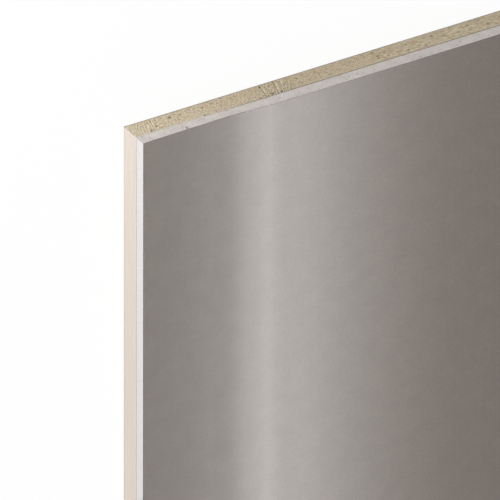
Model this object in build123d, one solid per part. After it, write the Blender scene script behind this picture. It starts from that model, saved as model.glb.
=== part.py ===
from build123d import *
import os

# Insulated drywall sheet: a recessed-edge plasterboard bonded to a board of rigid foam.
#
# The sheet lies flat on its foam side. X runs across its width, Y along its length and Z up through its
# thickness, from the underside of the foam's rear facing to the paper that the decorator finishes.
# The long edges are bound in paper and recessed. The two ends are sawn, so every layer shows there.
# All sizes are in millimetres.

# The sheet as it is sold
SHEET_WIDTH = 1200.0
SHEET_LENGTH = 2400.0
INSULATION_THICKNESS = 20.0
PLASTERBOARD_THICKNESS = 12.5

# The thin layers
FACING_THICKNESS = 0.7
PAPER_THICKNESS = 0.4

# The long edges of the plasterboard: a shallow recess for the joint filler. It falls from the edge to a
# valley and climbs a steeper shoulder to the field. Its two slopes would meet at the valley's depth.
RECESS_WIDTH = 124.0
EDGE_DEPTH = 1.3
VALLEY_FROM_EDGE = 91.0
VALLEY_DEPTH = 2.8
VALLEY_RADIUS = 440.0
SHOULDER_RADIUS = 240.0
FACE_ARRIS_RADIUS = 1.2
BACK_ARRIS_RADIUS = 0.7
PAPER_LAP = 25.0
BACK_PAPER_SETBACK = 3.0

# A knock in the front arris of one sawn end: a three-sided funnel that narrows into the plaster
NICK_FROM_LONG_EDGE = 43.5
NICK_MOUTH_RADIUS = 2.2
NICK_TIP_RADIUS = 0.44
NICK_DEPTH = 4.0

# Levels through the thickness, from the underside up
FOAM_BOTTOM = FACING_THICKNESS
FOAM_TOP = INSULATION_THICKNESS - FACING_THICKNESS
BACK_PAPER_TOP = INSULATION_THICKNESS + PAPER_THICKNESS
SHEET_TOP = INSULATION_THICKNESS + PLASTERBOARD_THICKNESS
VALLEY_LEVEL = SHEET_TOP - VALLEY_DEPTH
EDGE_TOP = SHEET_TOP - EDGE_DEPTH

HALF_WIDTH = SHEET_WIDTH / 2
HALF_LENGTH = SHEET_LENGTH / 2


def layer(width: float, bottom: float, top: float) -> Part:
    """A flat layer of the given width, as long as the sheet, between two levels."""
    slab = Box(width, SHEET_LENGTH, top - bottom, align=(Align.CENTER, Align.CENTER, Align.MIN))
    return Pos(0, 0, bottom) * slab


def along_sheet(section: Sketch) -> Part:
    """A section drawn across the sheet, run along its whole length."""
    return extrude(section, amount=HALF_LENGTH, both=True)


def corners_at(section: Sketch, x: float, z: float) -> ShapeList:
    """The section's two mirrored corners at the given distance from the middle and level."""
    near = 0.01
    return section.vertices().filter_by(lambda v: abs(abs(v.X) - x) < near and abs(v.Z - z) < near)


def wrapped_outline() -> Sketch:
    """The section that the face paper wraps: full thickness in the field, recessed along both long edges."""
    shoulder = HALF_WIDTH - RECESS_WIDTH
    valley = HALF_WIDTH - VALLEY_FROM_EDGE
    right = [
        (HALF_WIDTH, BACK_PAPER_TOP),
        (HALF_WIDTH, EDGE_TOP),
        (valley, VALLEY_LEVEL),
        (shoulder, SHEET_TOP),
    ]
    left = [(-x, z) for x, z in reversed(right)]
    section = Plane.XZ * make_face(Polyline(*right, *left, close=True))
    section = fillet(corners_at(section, shoulder, SHEET_TOP), SHOULDER_RADIUS)
    section = fillet(corners_at(section, valley, VALLEY_LEVEL), VALLEY_RADIUS)
    section = fillet(corners_at(section, HALF_WIDTH, EDGE_TOP), FACE_ARRIS_RADIUS)
    return fillet(corners_at(section, HALF_WIDTH, BACK_PAPER_TOP), BACK_ARRIS_RADIUS)


def between_laps() -> Sketch:
    """The strip of the section at the back that the turned-in paper leaves open."""
    width = SHEET_WIDTH - 2 * PAPER_LAP
    strip = Rectangle(width, PAPER_THICKNESS, align=(Align.CENTER, Align.MIN))
    return Plane.XZ * Pos(0, BACK_PAPER_TOP) * strip


def nick() -> Part:
    """The wedge of paper and plaster that is missing where the front arris was knocked."""
    fall = (EDGE_TOP - VALLEY_LEVEL) * NICK_FROM_LONG_EDGE / VALLEY_FROM_EDGE
    paper_level = EDGE_TOP - fall
    mouth = Pos(0, 0, paper_level + NICK_DEPTH) * RegularPolygon(NICK_MOUTH_RADIUS, 3)
    tip = Pos(0, 0, paper_level - NICK_DEPTH) * RegularPolygon(NICK_TIP_RADIUS, 3)
    return Pos(-HALF_WIDTH + NICK_FROM_LONG_EDGE, HALF_LENGTH) * Rot(0, 0, 90) * loft([mouth, tip])


outline = wrapped_outline()
plaster_outline = offset(outline, amount=-PAPER_THICKNESS, kind=Kind.INTERSECTION)

sheet = {
    "rear_facing": layer(SHEET_WIDTH, 0, FOAM_BOTTOM),
    "insulation_core": layer(SHEET_WIDTH, FOAM_BOTTOM, FOAM_TOP),
    "inner_facing": layer(SHEET_WIDTH, FOAM_TOP, INSULATION_THICKNESS),
    "back_paper": layer(SHEET_WIDTH - 2 * BACK_PAPER_SETBACK, INSULATION_THICKNESS, BACK_PAPER_TOP),
    "gypsum_core": along_sheet(plaster_outline + between_laps()) - nick(),
    "face_paper": along_sheet(outline - plaster_outline - between_laps()) - nick(),
}

os.makedirs("parts", exist_ok=True)
for name, piece in sheet.items():
    export_step(piece, f"parts/{name}.step")
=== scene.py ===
"""Dresses an insulated drywall sheet: plasterboard with rigid foam bonded to its back.

The sheet lies on its foam side. X runs across its width, Y along its length and Z up to the papered face.
The camera looks down on one corner, where a paper-wrapped long edge meets a sawn end and every layer shows.
Lengths are in metres, unless a comment says millimetres.
"""

import logging
import math
import random
from dataclasses import dataclass, field
from enum import Enum

import bmesh
import bpy
from mathutils import Matrix, Vector, noise


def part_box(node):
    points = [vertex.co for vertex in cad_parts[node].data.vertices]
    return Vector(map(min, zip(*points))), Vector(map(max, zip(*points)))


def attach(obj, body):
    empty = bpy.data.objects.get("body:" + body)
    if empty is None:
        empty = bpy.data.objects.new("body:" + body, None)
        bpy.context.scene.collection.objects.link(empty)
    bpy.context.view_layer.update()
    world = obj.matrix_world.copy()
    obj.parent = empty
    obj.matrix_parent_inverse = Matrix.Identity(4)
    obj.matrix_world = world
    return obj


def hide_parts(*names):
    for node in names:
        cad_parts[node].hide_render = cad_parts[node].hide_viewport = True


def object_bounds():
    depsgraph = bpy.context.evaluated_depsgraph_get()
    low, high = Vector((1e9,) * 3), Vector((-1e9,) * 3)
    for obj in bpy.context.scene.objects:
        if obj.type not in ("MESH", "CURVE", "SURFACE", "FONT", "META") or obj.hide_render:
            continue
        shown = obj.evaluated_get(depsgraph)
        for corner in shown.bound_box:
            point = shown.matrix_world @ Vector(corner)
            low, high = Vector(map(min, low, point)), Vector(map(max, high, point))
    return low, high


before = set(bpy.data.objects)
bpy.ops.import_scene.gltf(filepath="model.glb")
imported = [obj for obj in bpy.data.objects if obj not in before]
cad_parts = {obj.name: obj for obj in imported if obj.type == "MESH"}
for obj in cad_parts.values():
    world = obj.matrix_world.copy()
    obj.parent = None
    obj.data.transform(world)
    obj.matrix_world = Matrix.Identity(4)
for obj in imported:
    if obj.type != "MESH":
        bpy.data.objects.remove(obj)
cad_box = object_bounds()

MM = 0.001
BODY = "root"
Socket = bpy.types.NodeSocket
log = logging.getLogger("sheet")


def rgb(red: float, green: float, blue: float) -> tuple[float, float, float, float]:
    """Turns a display colour into the linear colour that shaders take.

    Args:
        red: from 0 to 255.
        green: from 0 to 255.
        blue: from 0 to 255.

    Returns:
        The linear colour, with an alpha of 1.
    """
    linear = []
    for part in (red, green, blue):
        share = part / 255
        linear.append(share / 12.92 if share <= 0.04045 else ((share + 0.055) / 1.055) ** 2.4)
    return (*linear, 1.0)


def smooth(value: float, low: float, high: float) -> float:
    """Eases from 0 at low to 1 at high."""
    share = min(1.0, max(0.0, (value - low) / (high - low)))
    return share * share * (3 - 2 * share)


class Bench:
    """A shader node tree under construction."""

    def __init__(self, tree: bpy.types.NodeTree) -> None:
        """Starts on a tree with no nodes in it."""
        self.tree = tree
        tree.nodes.clear()

    def add(self, kind: str, values: dict | None = None, **settings: object) -> bpy.types.Node:
        """Adds a node.

        Args:
            kind: the node's class, without "ShaderNode", or "Node" for a group's two ends.
            values: input name or number to a socket or a constant.
            **settings: the node's own settings.

        Returns:
            The new node.
        """
        family = "Node" if kind in ("GroupInput", "GroupOutput") else "ShaderNode"
        node = self.tree.nodes.new(family + kind)
        for name, setting in settings.items():
            setattr(node, name, setting)
        for name, value in (values or {}).items():
            self.feed(node.inputs[name], value)
        return node

    def feed(self, target: Socket, value: object) -> None:
        """Links a socket to an input, or sets the input to a constant.

        Args:
            target: the input.
            value: the socket or the constant.
        """
        if isinstance(value, bpy.types.NodeSocket):
            self.tree.links.new(value, target)
        else:
            target.default_value = value

    def maths(self, operation: str, *terms: object, clamp: bool = False) -> Socket:
        """Works out a sum on one to three numbers, kept from 0 to 1 if clamped."""
        return self.add("Math", dict(enumerate(terms)), operation=operation, use_clamp=clamp).outputs[0]

    def vector(self, operation: str, *terms: object) -> Socket:
        """Works out a sum on vectors or colours."""
        return self.add("VectorMath", dict(enumerate(terms)), operation=operation).outputs[0]

    def scaled(self, colour: Socket, factor: Socket) -> Socket:
        """Makes a colour lighter or darker by a factor."""
        return self.add("VectorMath", {0: colour, "Scale": factor}, operation="SCALE").outputs[0]

    def spread(self, value: Socket, low: object, high: object) -> Socket:
        """Eases a value from 0 at low to 1 at high, without passing either."""
        values = {"Value": value, "From Min": low, "From Max": high}
        return self.add("MapRange", values, interpolation_type="SMOOTHSTEP").outputs[0]

    def blended(self, factor: object, first: object, second: object) -> Socket:
        """Mixes two colours, the second one at a factor of 1."""
        return self.add("Mix", {0: factor, 6: first, 7: second}, data_type="RGBA").outputs[2]

    def noise(self, place: Socket, detail: float = 2.0, roughness: float = 0.5) -> Socket:
        """Cloudy noise of about one unit, from 0 to 1."""
        values = {"Vector": place, "Scale": 1.0, "Detail": detail, "Roughness": roughness}
        return self.add("TexNoise", values).outputs[0]

    def shrunk(self, place: Socket, x: object, y: object, z: object) -> Socket:
        """Measures a place in units of the given sizes along X, Y and Z."""
        unit = self.add("CombineXYZ", {"X": x, "Y": y, "Z": z}).outputs[0]
        return self.vector("DIVIDE", place, unit)

    def weighed(self, first: Socket, share: float, second: Socket, other: float) -> Socket:
        """Adds two values, each times its own share."""
        return self.maths("ADD", self.maths("MULTIPLY", first, share), self.maths("MULTIPLY", second, other))

    def swayed(self, base: object, pattern: Socket, amount: float) -> Socket:
        """Adds a pattern of 0 to 1 to a value, so that its middle changes nothing."""
        return self.maths("MULTIPLY_ADD", self.maths("SUBTRACT", pattern, 0.5), amount, base)

    def mark(self, name: str) -> Socket:
        """Reads a number that the mesh holds at each vertex."""
        return self.add("Attribute", attribute_name=name, attribute_type="GEOMETRY").outputs["Fac"]


class Pattern(Enum):
    """The node groups that more than one finish uses."""

    FIBRES = "Liner fibres"
    GRAIN = "Sawn grain"
    BORDER = "Border"

    def tree(self) -> bpy.types.NodeTree:
        """Finds the group's node tree, or builds it on its first use.

        Returns:
            The tree.
        """
        made = bpy.data.node_groups.get(self.value)
        if made:
            return made
        tree = bpy.data.node_groups.new(self.value, "ShaderNodeTree")
        build = {Pattern.FIBRES: build_fibres, Pattern.GRAIN: build_grain, Pattern.BORDER: build_border}
        build[self](tree)
        return tree

    def place(self, bench: Bench, position: Socket, **values: object) -> bpy.types.bpy_prop_collection:
        """Places the group in a material with its other values by name, and returns its outputs."""
        return bench.add("Group", {"Position": position, **values}, node_tree=self.tree()).outputs


def sockets(tree: bpy.types.NodeTree, inputs: dict[str, str], outputs: list[str]) -> None:
    """Gives a node group its sockets.

    Args:
        tree: the group.
        inputs: input name to "Vector" or "Float".
        outputs: the names of its outputs, which are all numbers.
    """
    for name, kind in inputs.items():
        tree.interface.new_socket(name, in_out="INPUT", socket_type="NodeSocket" + kind)
    for name in outputs:
        tree.interface.new_socket(name, in_out="OUTPUT", socket_type="NodeSocketFloat")


def build_fibres(tree: bpy.types.NodeTree) -> None:
    """Paper or tissue fibres: long along Y, with a few across, over soft clouds of more and less pulp.

    Args:
        tree: the group, still empty.
    """
    sockets(tree, {"Position": "Vector", "Width": "Float", "Length": "Float", "Cloud": "Float"},
            ["Fibres", "Clouds", "Height"])
    bench = Bench(tree)
    given = bench.add("GroupInput").outputs
    place, width, length, cloud = given["Position"], given["Width"], given["Length"], given["Cloud"]
    lengthways = bench.noise(bench.shrunk(place, width, length, width), 2.0, 0.6)
    crossways = bench.noise(bench.shrunk(place, length, width, width), 2.0, 0.6)
    fibres = bench.weighed(lengthways, 0.6, crossways, 0.4)
    clouds = bench.noise(bench.shrunk(place, cloud, cloud, cloud), 3.0, 0.55)
    height = bench.maths("ADD", fibres, bench.maths("MULTIPLY", clouds, 0.3))
    bench.add("GroupOutput", {"Fibres": fibres, "Clouds": clouds, "Height": height})


def build_grain(tree: bpy.types.NodeTree) -> None:
    """A sawn surface: fine grain, with small pits in a share of its cells.

    Args:
        tree: the group, still empty.
    """
    sockets(tree, {"Position": "Vector", "Grain": "Float", "Pit": "Float", "Share": "Float"},
            ["Grain", "Pits", "Height"])
    bench = Bench(tree)
    given = bench.add("GroupInput").outputs
    place, size, pit = given["Position"], given["Grain"], given["Pit"]
    grain = bench.noise(bench.shrunk(place, size, size, size), 3.0, 0.65)
    cells = bench.add("TexVoronoi", {"Vector": bench.shrunk(place, pit, pit, pit), "Scale": 1.0})
    lot = bench.add("SeparateColor", {"Color": cells.outputs["Color"]}).outputs[0]
    chosen = bench.maths("LESS_THAN", lot, given["Share"])
    pits = bench.maths("MULTIPLY", chosen, bench.spread(cells.outputs["Distance"], 0.42, 0.12))
    height = bench.maths("SUBTRACT", grain, pits)
    bench.add("GroupOutput", {"Grain": grain, "Pits": pits, "Height": height})


def build_border(tree: bpy.types.NodeTree) -> None:
    """A mask that rises across one axis towards the two opposite borders of a piece.

    Args:
        tree: the group, still empty.
    """
    sockets(tree, {"Position": "Vector", "Axis": "Vector", "From": "Float", "To": "Float"}, ["Mask"])
    bench = Bench(tree)
    given = bench.add("GroupInput").outputs
    reach = bench.add("VectorMath", {0: given["Position"], 1: given["Axis"]}, operation="DOT_PRODUCT")
    mask = bench.spread(bench.maths("ABSOLUTE", reach.outputs["Value"]), given["From"], given["To"])
    bench.add("GroupOutput", {"Mask": mask})


@dataclass(frozen=True)
class Finish:
    """What every finish of the sheet has: a name, a sheen and a relief.

    Attributes:
        name: the material's name.
        roughness: how dull the surface is.
        specular: how strongly it mirrors at a right angle.
        relief: the height of its fine relief.
    """

    name: str
    roughness: float
    specular: float
    relief: float

    def colour(self, bench: Bench, position: Socket) -> tuple[Socket, Socket, Socket]:
        """Builds the surface's pattern.

        Args:
            bench: the material's node tree.
            position: the place on the piece.

        Returns:
            The colour, the height from 0 to 1 and what is added to the roughness.
        """
        raise NotImplementedError

    def material(self) -> bpy.types.Material:
        """Finds the finish's material, or builds it on its first use.

        Returns:
            The material.
        """
        made = bpy.data.materials.get(self.name)
        if made:
            return made
        material = bpy.data.materials.new(self.name)
        material.use_nodes = True
        bench = Bench(material.node_tree)
        position = bench.add("TexCoord").outputs["Object"]
        colour, height, uneven = self.colour(bench, position)
        bump = bench.add("Bump", {"Height": height, "Strength": 1.0, "Distance": self.relief})
        surface = bench.add("BsdfPrincipled", {
            "Base Color": colour,
            "Roughness": bench.maths("ADD", uneven, self.roughness, clamp=True),
            "Specular IOR Level": self.specular,
            "Normal": bump.outputs[0],
        })
        bench.add("OutputMaterial", {"Surface": surface.outputs[0]})
        return material


@dataclass(frozen=True)
class FacePaper(Finish):
    """The grey face liner, painted pale as painted light where it is wrapped over the long edges, and darker
    as painted shade in the recess.

    Attributes:
        dark: the paper where it has less pulp.
        light: the paper where it has more.
        painted_lit_edge: the paper on the long edges, a paler copy of the face paper as painted light.
        half_width: from the sheet's middle to its long edges.
        arris: how far in from the long edge the pale paper begins.
        recess: how far in from the long edge the recess begins to climb, and where its painted shade is full.
        flat: how far in from the long edge the flat face begins, and where the recess's painted shade ends.
        lap: the level below which it is the pale lap turned in under the plaster.
    """

    dark: tuple
    light: tuple
    painted_lit_edge: tuple
    half_width: float
    arris: float
    recess: float
    flat: float
    lap: float

    def border(self, bench: Bench, position: Socket, start: float, end: float) -> Socket:
        """A mask that rises from one distance to another, both counted in from the long edges."""
        near, far = self.half_width - start, self.half_width - end
        return Pattern.BORDER.place(bench, position, Axis=(1, 0, 0), From=near, To=far)[0]

    def colour(self, bench: Bench, position: Socket) -> tuple[Socket, Socket, Socket]:
        """Mottled grey paper with fine fibres and faint rolling streaks, painted darker in the recess as
        painted shade and pale on its long edges as painted light.

        Args:
            bench: the material's node tree.
            position: the place on the piece.

        Returns:
            The colour, the height and what is added to the roughness.
        """
        fibres = Pattern.FIBRES.place(bench, position, Width=0.45 * MM, Length=2.6 * MM, Cloud=19 * MM)
        fleck = Pattern.GRAIN.place(bench, position, Grain=2.2 * MM, Pit=1.8 * MM, Share=0.08)
        streaks = bench.noise(bench.vector("MULTIPLY", position, (210.0, 1.3, 0.0)), 2.0)
        level = bench.add("SeparateXYZ", {"Vector": position}).outputs["Z"]
        # painted light: the long edges and the lap take the paler paper colour
        painted_lit_edge = bench.maths("MAXIMUM", self.border(bench, position, self.arris, 0.3 * self.arris),
                            bench.spread(level, self.lap + 0.3 * MM, self.lap))
        # painted shade: the paper inside the recess is painted 15 per cent darker
        painted_recess_shade = self.border(bench, position, self.flat, self.recess)
        paper = bench.blended(bench.spread(fibres["Clouds"], 0.3, 0.7), self.dark, self.light)
        paper = bench.scaled(paper, bench.maths("MULTIPLY_ADD", painted_recess_shade, -0.15, 1.0))
        paper = bench.blended(painted_lit_edge, paper, self.painted_lit_edge)
        lift = bench.maths("MULTIPLY_ADD", fibres["Fibres"], 0.22, 0.89)
        lift = bench.swayed(lift, streaks, 0.05)
        lift = bench.swayed(lift, fleck["Grain"], 0.30)
        lift = bench.maths("MULTIPLY_ADD", fleck["Pits"], -0.08, lift)
        uneven = bench.maths("MULTIPLY_ADD", fleck["Grain"], 0.04, -0.02)
        uneven = bench.maths("MULTIPLY_ADD", painted_lit_edge, 0.25, uneven)
        return bench.scaled(paper, lift), fibres["Height"], uneven


@dataclass(frozen=True)
class SawnFoam(Finish):
    """Rigid foam where the saw cut its cells open.

    Attributes:
        shade: the foam's darker grains.
        cream: the foam's lighter grains.
        hollow: the painted shade inside pores, pits and torn furrows.
        shade_mark: the name of the attribute that marks where pores and torn furrows are painted in that
            shade.
        relief_shade: the name of the attribute that says how proud the mesh stands, which is painted as light
            and shade.
    """

    shade: tuple
    cream: tuple
    hollow: tuple
    shade_mark: str
    relief_shade: str

    def colour(self, bench: Bench, position: Socket) -> tuple[Socket, Socket, Socket]:
        """Sandy grains of cream and tan, painted paler on the crests and darker in the furrows as painted
        light and shade, and darker in the pits and pores as painted shade.

        Args:
            bench: the material's node tree.
            position: the place on the piece.

        Returns:
            The colour, the height and what is added to the roughness.
        """
        coarse = Pattern.GRAIN.place(bench, position, Grain=1.25 * MM, Pit=1.15 * MM, Share=0.15)
        fine = Pattern.GRAIN.place(bench, position, Grain=0.45 * MM, Pit=0.6 * MM, Share=0.4)
        tone = bench.maths("ADD", bench.maths("MULTIPLY", coarse["Grain"], 0.25),
                           bench.maths("MULTIPLY_ADD", fine["Grain"], 0.4, 0.175))
        # painted light and shade: the relief's crests are painted paler and its furrows darker
        tone = bench.maths("MULTIPLY_ADD", bench.mark(self.relief_shade), 0.30, tone)
        foam = bench.blended(bench.spread(tone, 0.26, 0.74), self.shade, self.cream)
        # painted shade: pits, pores and torn furrows are painted towards the hollow colour
        pits = bench.maths("MAXIMUM", bench.maths("MULTIPLY", coarse["Pits"], 0.30),
                           bench.maths("MULTIPLY", fine["Pits"], 0.20))
        foam = bench.blended(bench.maths("MAXIMUM", pits, bench.mark(self.shade_mark)), foam, self.hollow)
        height = bench.maths("ADD", coarse["Height"], bench.maths("MULTIPLY", fine["Height"], 0.4))
        uneven = bench.maths("MULTIPLY_ADD", tone, 0.1, -0.05)
        return foam, height, uneven


@dataclass(frozen=True)
class TrimmedFoam(Finish):
    """Rigid foam where it was trimmed clean with a knife, along the long edges.

    Attributes:
        shade: the foam's darker streaks.
        cream: the foam's lighter streaks.
    """

    shade: tuple
    cream: tuple

    def colour(self, bench: Bench, position: Socket) -> tuple[Socket, Socket, Socket]:
        """Pale foam with faint streaks along the edge and hardly any open cells, which are painted darker as
        painted shade.

        Args:
            bench: the material's node tree.
            position: the place on the piece.

        Returns:
            The colour, the height and what is added to the roughness.
        """
        streaks = Pattern.FIBRES.place(bench, position, Width=1.6 * MM, Length=60 * MM, Cloud=14 * MM)
        grain = Pattern.GRAIN.place(bench, position, Grain=0.8 * MM, Pit=1.3 * MM, Share=0.05)
        tone = bench.swayed(streaks["Fibres"], grain["Grain"], 0.35)
        foam = bench.blended(bench.spread(tone, 0.3, 0.7), self.shade, self.cream)
        # painted shade: the few open cells are painted 12 per cent darker
        lift = bench.maths("MULTIPLY_ADD", grain["Pits"], -0.12, 1.0)
        height = bench.maths("ADD", streaks["Fibres"], bench.maths("MULTIPLY", grain["Height"], 0.3))
        return bench.scaled(foam, lift), height, bench.maths("MULTIPLY_ADD", streaks["Clouds"], 0.1, -0.05)


@dataclass(frozen=True)
class Plaster(Finish):
    """Set gypsum, bare where the board was sawn.

    Attributes:
        shade: the plaster's darker grains.
        chalk: the plaster's lighter grains.
        hollow: the painted shade inside pinholes, pits and the nick, also used for dark specks.
        shade_mark: the name of the attribute that marks where the pinholes cut into the mesh and the nick are
            painted in that shade.
    """

    shade: tuple
    chalk: tuple
    hollow: tuple
    shade_mark: str

    def colour(self, bench: Bench, position: Socket) -> tuple[Socket, Socket, Socket]:
        """Fine chalky grain with scattered dark specks, and painted shade in its pits, pinholes and the nick.

        Args:
            bench: the material's node tree.
            position: the place on the piece.

        Returns:
            The colour, the height and what is added to the roughness.
        """
        grain = Pattern.GRAIN.place(bench, position, Grain=0.9 * MM, Pit=1.0 * MM, Share=0.10)
        broad = Pattern.GRAIN.place(bench, position, Grain=7 * MM, Pit=2.1 * MM, Share=0.05)
        tone = bench.weighed(grain["Grain"], 0.6, broad["Grain"], 0.4)
        plaster = bench.blended(bench.spread(tone, 0.32, 0.68), self.shade, self.chalk)
        # painted shade: the grain's small pits are painted dark; the broad specks are darker spots without
        # relief
        specks = bench.maths("MAXIMUM", bench.maths("MULTIPLY", grain["Pits"], 0.22),
                             bench.maths("MULTIPLY", broad["Pits"], 0.25))
        # painted shade: the pinholes and the nick, marked on the mesh, are painted in the hollow colour
        marked = bench.maths("MAXIMUM", specks, bench.mark(self.shade_mark))
        plaster = bench.blended(marked, plaster, self.hollow)
        return plaster, grain["Height"], bench.maths("MULTIPLY_ADD", tone, 0.1, -0.05)


@dataclass(frozen=True)
class Tissue(Finish):
    """A thin bonded layer: a mineral-fibre facing or the coarse back liner.

    Attributes:
        dark: the layer between its fibres.
        light: its fibres.
        border: the colour that it takes towards two opposite borders.
        axis: the axis across which those borders lie.
        start: how far from the sheet's middle that colour begins to show.
        end: how far from the middle it is complete.
    """

    dark: tuple
    light: tuple
    border: tuple
    axis: tuple
    start: float
    end: float

    def colour(self, bench: Bench, position: Socket) -> tuple[Socket, Socket, Socket]:
        """Coarse fibres lying both ways over soft clouds, under the border colour towards two opposite
        borders.

        Args:
            bench: the material's node tree.
            position: the place on the piece.

        Returns:
            The colour, the height and what is added to the roughness.
        """
        fibres = Pattern.FIBRES.place(bench, position, Width=0.7 * MM, Length=4.5 * MM, Cloud=35 * MM)
        tone = bench.weighed(fibres["Fibres"], 0.7, fibres["Clouds"], 0.3)
        layer = bench.blended(bench.spread(tone, 0.35, 0.65), self.dark, self.light)
        border = Pattern.BORDER.place(bench, position, Axis=self.axis, From=self.start, To=self.end)[0]
        layer = bench.blended(border, layer, self.border)
        return layer, fibres["Height"], bench.maths("MULTIPLY_ADD", fibres["Clouds"], 0.1, -0.05)


@dataclass(frozen=True)
class Pore:
    """A hollow that the saw cut open.

    Attributes:
        across: its distance from the sheet's left long edge.
        level: its height above the layer's underside.
        radius: its radius.
        depth: its depth.
    """

    across: float
    level: float
    radius: float
    depth: float


@dataclass(frozen=True)
class TornPatch:
    """A stretch of a sawn end where the saw tore the foam into ridges.

    Attributes:
        middle: its distance from the sheet's left long edge.
        reach: half its length.
        height: how much deeper its ridges are.
    """

    middle: float
    reach: float
    height: float

    def share(self, across: float) -> float:
        """How torn the foam is at a place, from 0 to 1."""
        return 1 - smooth(abs(across - self.middle), 0.5 * self.reach, self.reach)


@dataclass
class SawnEnd:
    """The relief of one sawn end of a layer: saw ridges, grain and open pores.

    Attributes:
        seed: what its random places start from.
        ridge_height: the depth of the saw's ridges.
        ridge_pitch: the distance between them.
        ridge_lean: how far they lean across for each metre of thickness.
        grain_height: the depth of the grain.
        grain_size: its size across the width.
        grain_stretch: how many times longer it is through the thickness.
        calm_share: how much of the grain's contrast is lost away from the left long edge, and how much darker
            it is painted there, from 0 to 1.
        calm_reach: how far in from that edge it is lost.
        stroke_share: how clearly the saw's strokes show beside the left long edge, from 0 to 1.
        stroke_reach: how far in from that edge they show.
        pores: its hollows.
        torn: its torn patches.
        bins: the hollows again, filed by the stretch of the width that they touch.
    """

    seed: int
    ridge_height: float
    ridge_pitch: float
    ridge_lean: float
    grain_height: float
    grain_size: float
    grain_stretch: float = 1.0
    calm_share: float = 0.0
    calm_reach: float = 155 * MM
    stroke_share: float = 0.0
    stroke_reach: float = 36 * MM
    pores: list[Pore] = field(default_factory=list)
    torn: list[TornPatch] = field(default_factory=list)
    bins: dict[int, list[Pore]] = field(default_factory=dict)

    # The length of a stretch in the bins, and of a patch of stronger or weaker contrast
    BIN = 4 * MM
    PATCH = 12 * MM

    def sort(self) -> None:
        """Files each pore under the stretches that it lies in."""
        for pore in self.pores:
            first = int((pore.across - pore.radius) / self.BIN)
            last = int((pore.across + pore.radius) / self.BIN)
            for stretch in range(first, last + 1):
                self.bins.setdefault(stretch, []).append(pore)

    def spot(self, across: float, level: float, layer: float) -> Vector:
        """A place counted in ridges, in one layer of the noise."""
        return Vector((across / self.ridge_pitch + 0.7 * self.seed, level / (6 * self.ridge_pitch), layer))

    def phase(self, across: float, level: float) -> float:
        """How many of the saw's ridges lie between the left long edge and a place."""
        drift = noise.noise(self.spot(across, level, 0.0) * 0.5) * 1.2
        return (across + self.ridge_lean * level) / self.ridge_pitch + drift

    def ridge(self, across: float, level: float) -> float:
        """The saw's ridges at a place, from 0 to 1."""
        strength = 0.5 + 0.5 * noise.noise(self.spot(across, level, 4.0) * 0.6)
        return (0.5 + 0.5 * math.sin(math.tau * self.phase(across, level))) * strength

    def grain(self, across: float, level: float) -> float:
        """The grain at a place, from 0 to 1."""
        place = Vector((across, level / self.grain_stretch, self.seed * 0.01)) / self.grain_size
        return 0.5 + 0.5 * noise.fractal(place, 0.6, 2.1, 3)

    def opening(self, across: float, level: float) -> tuple[float, float]:
        """How deep the pores are at a place.

        Args:
            across: the distance from the left long edge.
            level: the height above the layer's underside.

        Returns:
            The depth, and how far inside a pore the place is, from 0 to 1.
        """
        depth = share = 0.0
        for pore in self.bins.get(int(across / self.BIN), ()):
            away = math.hypot(across - pore.across, level - pore.level) / pore.radius
            if away < 1:
                bowl = 1 - away * away
                depth = max(depth, pore.depth * bowl)
                share = max(share, smooth(bowl, 0.0, 0.7))
        return depth, share

    def stroke(self, across: float, level: float, torn: float) -> tuple[float, float]:
        """The saw's strokes at a place, broken off here and there, and more often where it tore.

        Args:
            across: the distance from the left long edge.
            level: the height above the layer's underside.
            torn: how torn the foam is there, from 0 to 1.

        Returns:
            How whole the stroke is, from 0 to 1, and the wave across the strokes, from -1 to 1.
        """
        length = (1.4 - 0.7 * torn) * self.ridge_pitch
        broken = noise.noise(Vector((across / self.ridge_pitch, level / length, 9.0)))
        limit = 0.3 - 0.27 * torn
        whole = 1 - smooth(broken, limit - 0.25, limit + 0.2)
        return whole, whole * math.sin(math.tau * self.phase(across, level))

    def relief_shade(self, across: float, level: float, grain: float, clear: float, wave: float) -> float:
        """How proud a place stands, which the sawn foam's colour shows as painted light and shade.

        Args:
            across: the distance from the left long edge.
            level: the height above the layer's underside.
            grain: the grain there, from 0 to 1.
            clear: how clearly the saw's strokes show there.
            wave: the wave across the strokes there, from -1 to 1.

        Returns:
            From -1 in a furrow, painted darkest, to 1 on a ridge top, painted palest.
        """
        calm = self.calm_share * smooth(across, 0.1 * self.calm_reach, self.calm_reach)
        patchy = 1 + 0.35 * noise.noise(Vector((across / self.PATCH, level / self.PATCH, 3.0)))
        contrast = 2.8 * (1 - calm) * (1 - 0.65 * min(1.0, clear)) * patchy
        proud = (1 - 2 * grain) * contrast - wave * clear - 0.3 * calm
        return min(1.0, max(-1.0, proud))

    def depth(self, across: float, level: float) -> tuple[float, float, float]:
        """The whole relief at a place.

        Args:
            across: the distance from the left long edge.
            level: the height above the layer's underside.

        Returns:
            The depth, how far inside a pore or torn furrow the place is, for its painted shade, and how proud
            it stands, from -1 to 1.
        """
        torn = max((patch.share(across) for patch in self.torn), default=0.0)
        extra = max((patch.height for patch in self.torn), default=0.0) * torn
        hollow, share = self.opening(across, level)
        ridge, grain = self.ridge(across, level), self.grain(across, level)
        clear = self.stroke_share * (1 - smooth(across, 0.5 * self.stroke_reach, self.stroke_reach)) + torn
        wave = 0.0
        if clear:
            whole, wave = self.stroke(across, level, torn)
            ridge *= 1 - torn * (1 - whole)
            # painted shade: the torn patch's furrows are marked to be painted dark
            share = max(share, 0.9 * torn * smooth(wave, 0.35, 0.8))
        relief = (self.ridge_height + extra) * ridge + self.grain_height * grain
        return max(0.0, relief) + hollow, share, self.relief_shade(across, level, grain, clear, wave)


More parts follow.
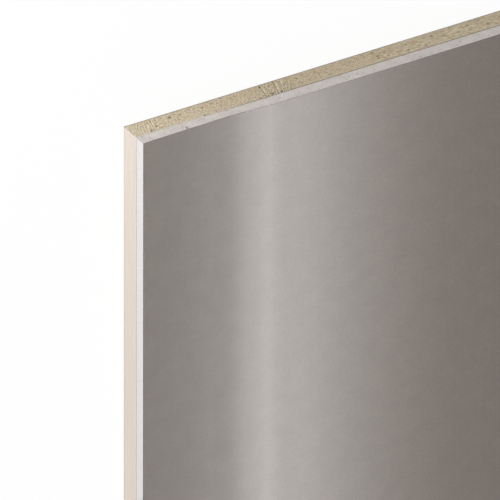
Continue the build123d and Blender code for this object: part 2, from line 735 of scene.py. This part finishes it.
@dataclass
class Slab:
    """A layer of the sheet with both its ends sawn, rebuilt finely from its CAD node.

    Attributes:
        node: the CAD node that it stands for.
        name: the new piece's name.
        slot: the record's material slot; not used.
        long_finish: the finish of its long sides.
        sawn_finish: the finish of its ends.
        ends: the relief of the end at +Y, filed under 1, and of the one at -Y, filed under -1.
        shade_spots: places painted dark as painted shade, as distance from the left long edge, height above
            the layer's underside and radius, all at the +Y end.
        fine_reach: how far in from the photographed long edge its ends are finely divided.
        fine_step: the size of the fine divisions across the width.
        coarse_step: the size of the others.
        level_step: the size of the divisions through the thickness.
        flat_angle: faces of the CAD node that meet at less than this are joined first, in degrees.
        sharp_angle: edges that bend by more than this stay sharp, in degrees.
        rim_share: how much of the relief is left where an end meets the sides, from 0 to 1.
    """

    node: str
    name: str
    slot: str
    long_finish: Finish
    sawn_finish: Finish
    ends: dict[int, SawnEnd]
    shade_spots: tuple = ()
    fine_reach: float = 230 * MM
    fine_step: float = 0.45 * MM
    coarse_step: float = 1.7 * MM
    level_step: float = 0.48 * MM
    flat_angle: float = 0.05
    sharp_angle: float = 60.0
    rim_share: float = 0.25

    # The marks on the vertices for painted shade and light, and how near two points are one and a point lies
    # on a cut
    SHADE_MARK = "painted_hollow_shade"
    RELIEF_SHADE = "relief_shade"
    MERGE = 1e-6
    TOUCH = 1e-7

    def cuts_across(self, low: float, high: float) -> list[float]:
        """The places across the width where the ends are divided.

        Args:
            low: where the layer begins along X.
            high: where it ends.

        Returns:
            The places, fine near the photographed long edge and coarse beyond.
        """
        places, place = [], low + self.fine_step
        while place < high - 0.5 * self.coarse_step:
            places.append(place)
            place += self.fine_step if place < low + self.fine_reach else self.coarse_step
        return places

    def divide(self, bm: bmesh.types.BMesh, low: Vector, high: Vector) -> None:
        """Cuts the slab's faces into the fine grid that the relief needs.

        Args:
            bm: the slab.
            low: the lowest corner of its box.
            high: the highest one.
        """
        def cut(place: Vector, normal: Vector) -> None:
            """Cuts every face along a plane."""
            geometry = bm.verts[:] + bm.edges[:] + bm.faces[:]
            bmesh.ops.bisect_plane(bm, geom=geometry, dist=self.TOUCH, plane_co=place, plane_no=normal)

        for across in self.cuts_across(low.x, high.x):
            cut(Vector((across, 0, 0)), Vector((1, 0, 0)))
        rows = round((high.z - low.z) / self.level_step)
        for row in range(1, rows):
            cut(Vector((0, 0, low.z + (high.z - low.z) * row / rows)), Vector((0, 0, 1)))

    def saw(self, bm: bmesh.types.BMesh, low: Vector, high: Vector) -> None:
        """Presses the relief into both ends, and marks pores, dirt and crests on the vertices.

        Args:
            bm: the slab.
            low: the lowest corner of its box.
            high: the highest one.
        """
        shade_mark = bm.verts.layers.float.new(self.SHADE_MARK)
        relief_shade = bm.verts.layers.float.new(self.RELIEF_SHADE)
        # painted shade: spots inside the nick are marked to be painted dark
        for across, level, radius in self.shade_spots:
            middle = Vector((low.x + across, high.y, low.z + level))
            for vertex in bm.verts:
                spot_shade = 1 - smooth((vertex.co - middle).length, 0.6 * radius, radius)
                vertex[shade_mark] = max(vertex[shade_mark], spot_shade)
        for vertex in bm.verts:
            end = 1 if vertex.co.y > high.y - MM else -1 if vertex.co.y < low.y + MM else 0
            if end == 0:
                continue
            depth, share, proud = self.ends[end].depth(vertex.co.x - low.x, vertex.co.z - low.z)
            inside = smooth(min(vertex.co.z - low.z, high.z - vertex.co.z), 0.0, self.level_step)
            vertex.co.y -= end * depth * (self.rim_share + (1 - self.rim_share) * inside)
            # painted shade: how far the vertex lies inside a pore or torn furrow, for the hollow colour
            vertex[shade_mark] = max(vertex[shade_mark], share * inside)
            # painted light and shade: how proud the vertex stands, for the sawn foam's colour
            vertex[relief_shade] = proud

    def build(self) -> bpy.types.Object:
        """Builds the slab from its CAD node's solid, divides its ends, saws them and dresses it.

        Returns:
            The finished piece.
        """
        low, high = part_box(self.node)
        bm = bmesh.new()
        bm.from_mesh(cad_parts[self.node].data)
        bmesh.ops.remove_doubles(bm, verts=bm.verts, dist=self.MERGE)
        flat = math.radians(self.flat_angle)
        bmesh.ops.dissolve_limit(bm, angle_limit=flat, verts=bm.verts, edges=bm.edges)
        self.divide(bm, low, high)
        bm.faces.ensure_lookup_table()
        bm.normal_update()
        for face in bm.faces:
            face.material_index = 1 if abs(face.normal.y) > 0.9 else 0
        self.saw(bm, low, high)
        mesh = bpy.data.meshes.new(self.name)
        bm.to_mesh(mesh)
        bm.free()
        for finish in (self.long_finish, self.sawn_finish):
            mesh.materials.append(finish.material())
        mesh.polygons.foreach_set("use_smooth", [True] * len(mesh.polygons))
        mesh.set_sharp_from_angle(angle=math.radians(self.sharp_angle))
        piece = bpy.data.objects.new(self.name, mesh)
        bpy.context.scene.collection.objects.link(piece)
        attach(piece, BODY)
        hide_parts(self.node)
        log.info("%s: %d faces for %s", self.name, len(mesh.polygons), self.node)
        return piece


@dataclass(frozen=True)
class FoamBoard:
    """The rigid foam: sawn ends full of open cells, and long edges trimmed smooth.

    Attributes:
        small_pores: how many small pores each end has.
        large_pores: how many large ones.
        small_radius: the smallest and the largest radius of a small pore, in millimetres.
        large_radius: the same of a large pore.
        named_pores: the pores that the photographed corner shows, as distance from the long edge, height and
            radius, in millimetres.
        named_reach: how far in from the long edge those are the only large pores.
        torn_patch: the torn patch that it shows.
    """

    small_pores: int = 700
    large_pores: int = 46
    small_radius: tuple[float, float] = (0.4, 0.7)
    large_radius: tuple[float, float] = (0.75, 1.25)
    named_pores: tuple = ((16.8, 15.8, 1.2), (24.2, 11.4, 1.35), (40.2, 5.5, 1.6), (49.5, 6.1, 0.9),
                          (67.2, 17.4, 1.1), (78.3, 16.3, 0.9), (80.3, 4.2, 1.0), (86, 11.8, 0.9))
    named_reach: float = 100 * MM
    torn_patch: TornPatch = TornPatch(139 * MM, 20 * MM, 0.5 * MM)

    def end(self, seed: int, width: float, thickness: float, named: bool) -> SawnEnd:
        """Makes one sawn end.

        Args:
            seed: what its random places start from.
            width: the board's width.
            thickness: its thickness.
            named: whether it has the photographed corner's pores and torn patch.

        Returns:
            The end's relief.
        """
        dice = random.Random(seed)
        surface = SawnEnd(seed, ridge_height=0.16 * MM, ridge_pitch=2.3 * MM, ridge_lean=0.28,
                          grain_height=0.30 * MM, grain_size=0.7 * MM, grain_stretch=2.2, calm_share=0.65,
                          stroke_share=0.85)
        for count, sizes in ((self.small_pores, self.small_radius), (self.large_pores, self.large_radius)):
            for _ in range(count):
                radius = dice.uniform(*sizes) * MM
                across, level = dice.uniform(0, width), dice.uniform(radius, thickness - radius)
                large = radius > self.small_radius[1] * MM
                if not (named and large and across < self.named_reach):
                    surface.pores.append(Pore(across, level, radius, 0.9 * radius))
        if named:
            surface.pores += [Pore(across * MM, level * MM, radius * MM, 1.3 * radius * MM)
                              for across, level, radius in self.named_pores]
            surface.torn.append(self.torn_patch)
        surface.sort()
        return surface

    def slab(self) -> Slab:
        """Lays out the board.

        Returns:
            The board as a slab, with its finishes and its two ends.
        """
        low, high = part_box("insulation_core")
        width, thickness = high.x - low.x, high.z - low.z
        return Slab(
            node="insulation_core", name="foam_board", slot="foam",
            long_finish=TrimmedFoam("Trimmed foam", 0.8, 0.3, 0.05 * MM, rgb(228, 214, 202),
                                    rgb(238, 226, 215)),
            sawn_finish=SawnFoam("Sawn foam", 0.9, 0.2, 0.25 * MM, rgb(211, 192, 158), rgb(255, 243, 219),
                                 rgb(104, 86, 62), Slab.SHADE_MARK, Slab.RELIEF_SHADE),
            ends={1: self.end(11, width, thickness, True), -1: self.end(12, width, thickness, False)},
        )


@dataclass(frozen=True)
class PlasterCore:
    """The set gypsum between its two liners: fine grained and bare at the sawn ends.

    Attributes:
        pinholes: how many pinholes each end has.
        pinhole_radius: the smallest and the largest radius of a pinhole, in millimetres.
        nick: how far the nick in the photographed end is from the long edge.
        nick_top: how far below the face the nick's painted shade begins.
        nick_depth: how far down it reaches from there.
        nick_spots: how many spots the nick's painted shade is made of.
    """

    pinholes: int = 260
    pinhole_radius: tuple[float, float] = (0.3, 0.6)
    nick: float = 43.5 * MM
    nick_top: float = 2.0 * MM
    nick_depth: float = 4.0 * MM
    nick_spots: int = 5

    def shade_spots(self, thickness: float) -> tuple:
        """The nick's painted shade, as a row of overlapping spots that get smaller away from the face.

        Args:
            thickness: the core's thickness.

        Returns:
            Each spot's distance from the long edge, height and radius.
        """
        spots = []
        for spot in range(self.nick_spots):
            share = spot / (self.nick_spots - 1)
            level = thickness - self.nick_top - share * self.nick_depth
            spots.append((self.nick, level, (0.95 - 0.35 * share) * MM))
        return tuple(spots)

    def end(self, seed: int, width: float, thickness: float) -> SawnEnd:
        """Makes one sawn end.

        Args:
            seed: what its random places start from.
            width: the core's width.
            thickness: its thickness.

        Returns:
            The end's relief.
        """
        dice = random.Random(seed)
        surface = SawnEnd(seed, ridge_height=0.05 * MM, ridge_pitch=2.6 * MM, ridge_lean=0.33,
                          grain_height=0.12 * MM, grain_size=1.1 * MM)
        for _ in range(self.pinholes):
            radius = dice.uniform(*self.pinhole_radius) * MM
            surface.pores.append(Pore(dice.uniform(0, width), dice.uniform(0, thickness), radius, radius))
        surface.sort()
        return surface

    def slab(self) -> Slab:
        """Lays out the core.

        Returns:
            The core as a slab, with its finish and its two ends.
        """
        low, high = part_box("gypsum_core")
        width, thickness = high.x - low.x, high.z - low.z
        plaster = Plaster("Sawn plaster", 0.85, 0.25, 0.10 * MM, rgb(222, 212, 206), rgb(248, 241, 237),
                          rgb(128, 114, 102), Slab.SHADE_MARK)
        return Slab(
            node="gypsum_core", name="plaster_core", slot="gypsum", long_finish=plaster, sawn_finish=plaster,
            ends={1: self.end(21, width, thickness), -1: self.end(22, width, thickness)},
            shade_spots=self.shade_spots(thickness),
            level_step=0.5 * MM,
        )


@dataclass(frozen=True)
class Layer:
    """A thin layer whose CAD node stays, and only gets its finish.

    Attributes:
        node: the CAD node.
        finish: its finish.
    """

    node: str
    finish: Finish

    def dress(self) -> None:
        """Puts the finish on the CAD node."""
        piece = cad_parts[self.node]
        piece.material_slots[0].material = self.finish.material()
        log.info("%s: dressed in %s", self.node, self.finish.name)


def thin_layers() -> list[Layer]:
    """Finds a finish for each paper and facing.

    Returns:
        The thin layers. The seam layers are painted paler near the long edges as painted light, and the rear
        facing is darker at the sawn ends.
    """
    low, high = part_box("face_paper")
    half_width, half_length = (high.x - low.x) / 2, (high.y - low.y) / 2
    # painted light: the seam layers are painted paler near the long edges, where their groove is shaded
    painted_seam_light = (rgb(214, 200, 184), (1, 0, 0), half_width - 125 * MM, half_width - 55 * MM)
    # the rear facing turns darker at its sawn ends
    darker_ends = (rgb(160, 153, 143), (0, 1, 0), half_length - 1.2 * MM, half_length - 0.3 * MM)
    liner = FacePaper("Face liner", 0.21, 0.5, 0.02 * MM, rgb(121, 109, 99), rgb(125, 113, 102),
                      rgb(232, 229, 228), half_width, arris=0.45 * MM, recess=100 * MM, flat=135 * MM,
                      lap=low.z + 0.6 * MM)
    back = Tissue("Back liner", 0.85, 0.2, 0.08 * MM, rgb(96, 82, 66), rgb(124, 110, 92), *painted_seam_light)
    bonded = Tissue("Bonded facing", 0.85, 0.2, 0.12 * MM, rgb(176, 162, 140), rgb(206, 192, 170),
                    rgb(244, 236, 231), *painted_seam_light[1:])
    rear = Tissue("Rear facing", 0.85, 0.2, 0.12 * MM, rgb(198, 187, 176), rgb(224, 214, 205), *darker_ends)
    return [Layer("face_paper", liner), Layer("back_paper", back),
            Layer("inner_facing", bonded), Layer("rear_facing", rear)]


@dataclass(frozen=True)
class Softbox:
    """A soft studio lamp.

    Attributes:
        name: the lamp's name.
        place: where it hangs.
        aim: the point that it faces.
        width: its width.
        length: its length along Y.
        radiance: how bright its surface is, where 1 is white.
        lights: whether it lights dull surfaces.
        shows: whether it shows in a surface's sheen.
    """

    name: str
    place: tuple
    aim: tuple
    width: float
    length: float
    radiance: float
    lights: bool = True
    shows: bool = True

    def hang(self) -> None:
        """Adds the lamp to the scene."""
        lamp = bpy.data.lights.new(self.name, "AREA")
        lamp.shape = "RECTANGLE"
        lamp.size, lamp.size_y = self.width, self.length
        lamp.energy = self.radiance * math.pi * self.width * self.length
        holder = bpy.data.objects.new(self.name, lamp)
        forward = (Vector(self.aim) - Vector(self.place)).normalized()
        side = Vector((0, 1, 0)).cross(forward).normalized()
        turn = Matrix((-side, forward.cross(side), -forward)).transposed()
        holder.matrix_world = Matrix.Translation(self.place) @ turn.to_4x4()
        holder.visible_camera = False
        holder.visible_diffuse = self.lights
        holder.visible_glossy = self.shows
        bpy.context.scene.collection.objects.link(holder)


@dataclass(frozen=True)
class Studio:
    """A pale floor, a white surround and soft lamps.

    Attributes:
        ambient: how bright the surround is as a light.
        floor_size: the floor's side.
        floor_gap: how far the floor lies below the sheet.
        floor_lit: how bright the dull floor is where the lamps light it.
        shadow_share: how much of the object's shadow the camera sees on the white floor.
    """

    ambient: float = 0.50
    floor_size: float = 2000.0
    floor_gap: float = 0.05 * MM
    floor_lit: float = 0.63
    shadow_share: float = 0.12

    def seen(self, bench: Bench) -> Socket:
        """Tells what the camera sees from what lights the scene.

        Args:
            bench: the node tree.

        Returns:
            1 for what is seen, also in gloss and through glass, and 0 for what lights.
        """
        path = bench.add("LightPath").outputs
        direct = bench.maths("ADD", path["Is Camera Ray"], path["Is Glossy Ray"])
        return bench.maths("ADD", direct, path["Is Transmission Ray"], clamp=True)

    def surround(self) -> None:
        """Makes the world white to the camera, and as bright as a soft ambient light to the object."""
        world = bpy.data.worlds.new("Surround")
        bpy.context.scene.world = world
        world.use_nodes = True
        bench = Bench(world.node_tree)
        light = bench.add("Background", {"Color": (1, 1, 1, 1), "Strength": self.ambient})
        white = bench.add("Background", {"Color": (1, 1, 1, 1), "Strength": 1.0})
        mixed = bench.add("MixShader", {0: self.seen(bench), 1: light.outputs[0], 2: white.outputs[0]})
        bench.add("OutputWorld", {"Surface": mixed.outputs[0]})

    def floor(self) -> None:
        """Lays a wide pale floor, white to the camera but for the object's faint shadow."""
        bm = bmesh.new()
        bmesh.ops.create_grid(bm, x_segments=1, y_segments=1, size=self.floor_size / 2)
        bmesh.ops.translate(bm, verts=bm.verts, vec=(0, 0, -self.floor_gap))
        mesh = bpy.data.meshes.new("Floor")
        bm.to_mesh(mesh)
        bm.free()
        material = bpy.data.materials.new("Pale floor")
        material.use_nodes = True
        bench = Bench(material.node_tree)
        dull = bench.add("BsdfDiffuse", {"Color": rgb(238, 238, 238)})
        glow = (1 - self.shadow_share * self.floor_lit) / (1 - self.shadow_share)
        white = bench.add("Emission", {"Color": (1, 1, 1, 1), "Strength": glow})
        share = bench.maths("MULTIPLY", self.seen(bench), 1 - self.shadow_share)
        mixed = bench.add("MixShader", {0: share, 1: dull.outputs[0], 2: white.outputs[0]})
        bench.add("OutputMaterial", {"Surface": mixed.outputs[0]})
        mesh.materials.append(material)
        ground = bpy.data.objects.new("Floor", mesh)
        bpy.context.scene.collection.objects.link(ground)

    def light(self) -> None:
        """Hangs the lamps: a key beside the long edge, a small one by the corner and four for the sheen."""
        lamps = (
            Softbox("Key", (-2.8, 1.25, 0.9), (-0.6, 1.1, 0), 2.0, 2.4, 1.68, shows=False),
            Softbox("Corner", (-0.9, 1.5, 0.06), (-0.6, 1.2, 0.016), 0.12, 0.12, 9.0, shows=False),
            Softbox("Shoulder strip", (-0.42, -0.15, 0.15), (-0.42, -0.15, 0), 0.025, 4.4, 2.2, lights=False),
            Softbox("Near strip", (-0.30, -0.15, 0.30), (-0.30, -0.15, 0), 0.06, 4.4, 2.7, lights=False),
            Softbox("Low strip", (-0.095, -0.37, 0.6), (-0.095, -0.37, 0), 0.12, 4.4, 4.1, lights=False),
            Softbox("High strip", (0.70, -1.05, 3.0), (0.70, -1.05, 0), 0.50, 8.0, 9.1, lights=False),
        )
        for lamp in lamps:
            lamp.hang()

    def build(self) -> None:
        """Sets up the whole studio."""
        self.surround()
        self.floor()
        self.light()


@dataclass(frozen=True)
class PhotoView:
    """The camera at the photograph's angle to the sheet, framed on the same corner.

    Attributes:
        turn: how far the view is turned from the face towards the long edge, in degrees.
        rise: how far it looks down on the sawn end, in degrees.
        roll: how far the camera is turned about its own view, in degrees.
        pixel: what one pixel of the photograph covers at the corner.
        picture: the photograph's side, in pixels.
        corner: where the sheet's corner at its underside shows, in pixels from the picture's left and top.
        distance: from the camera to the corner, along the view.
        sensor: the camera's sensor width, in millimetres.
    """

    turn: float = 31.03
    rise: float = 31.72
    roll: float = 0.2
    pixel: float = 0.8231 * MM
    picture: float = 500.0
    corner: tuple[float, float] = (123.85, 126.64)
    distance: float = 19.0
    sensor: float = 36.0

    def axes(self) -> tuple[Vector, Vector, Vector]:
        """Works out how the camera is turned.

        Returns:
            Its right, up and backward directions.
        """
        turn, rise = math.radians(self.turn), math.radians(self.rise)
        right = Vector((math.cos(turn), 0, math.sin(turn)))
        up = Vector((math.sin(turn) * math.sin(rise), math.cos(rise), -math.cos(turn) * math.sin(rise)))
        back = right.cross(up)
        level = Matrix.Rotation(math.radians(self.roll), 3, back)
        return level @ right, level @ up, back

    def build(self) -> None:
        """Adds the camera and makes it the scene's."""
        right, up, back = self.axes()
        low, high = cad_box
        corner = Vector((low.x, high.y, low.z))
        aside = (self.picture / 2 - self.corner[0]) * self.pixel
        down = (self.picture / 2 - self.corner[1]) * self.pixel
        middle = corner + right * aside - up * down
        lens = bpy.data.cameras.new("Camera")
        lens.sensor_width = self.sensor
        lens.lens = self.sensor * self.distance / (self.picture * self.pixel)
        lens.clip_end = 10 * self.distance
        camera = bpy.data.objects.new("Camera", lens)
        turn = Matrix((right, up, back)).transposed().to_4x4()
        camera.matrix_world = Matrix.Translation(middle + back * self.distance) @ turn
        bpy.context.scene.collection.objects.link(camera)
        bpy.context.scene.camera = camera


def main() -> None:
    """Builds the camera, the sheet's pieces and the studio, in that order."""
    logging.basicConfig(level=logging.INFO, format="%(message)s")
    bpy.context.scene.view_settings.view_transform = "Standard"
    PhotoView().build()
    for sub_assembly in (FoamBoard(), PlasterCore()):
        sub_assembly.slab().build()
    for layer in thin_layers():
        layer.dress()
    Studio().build()


if __name__ == "__main__":
    main()
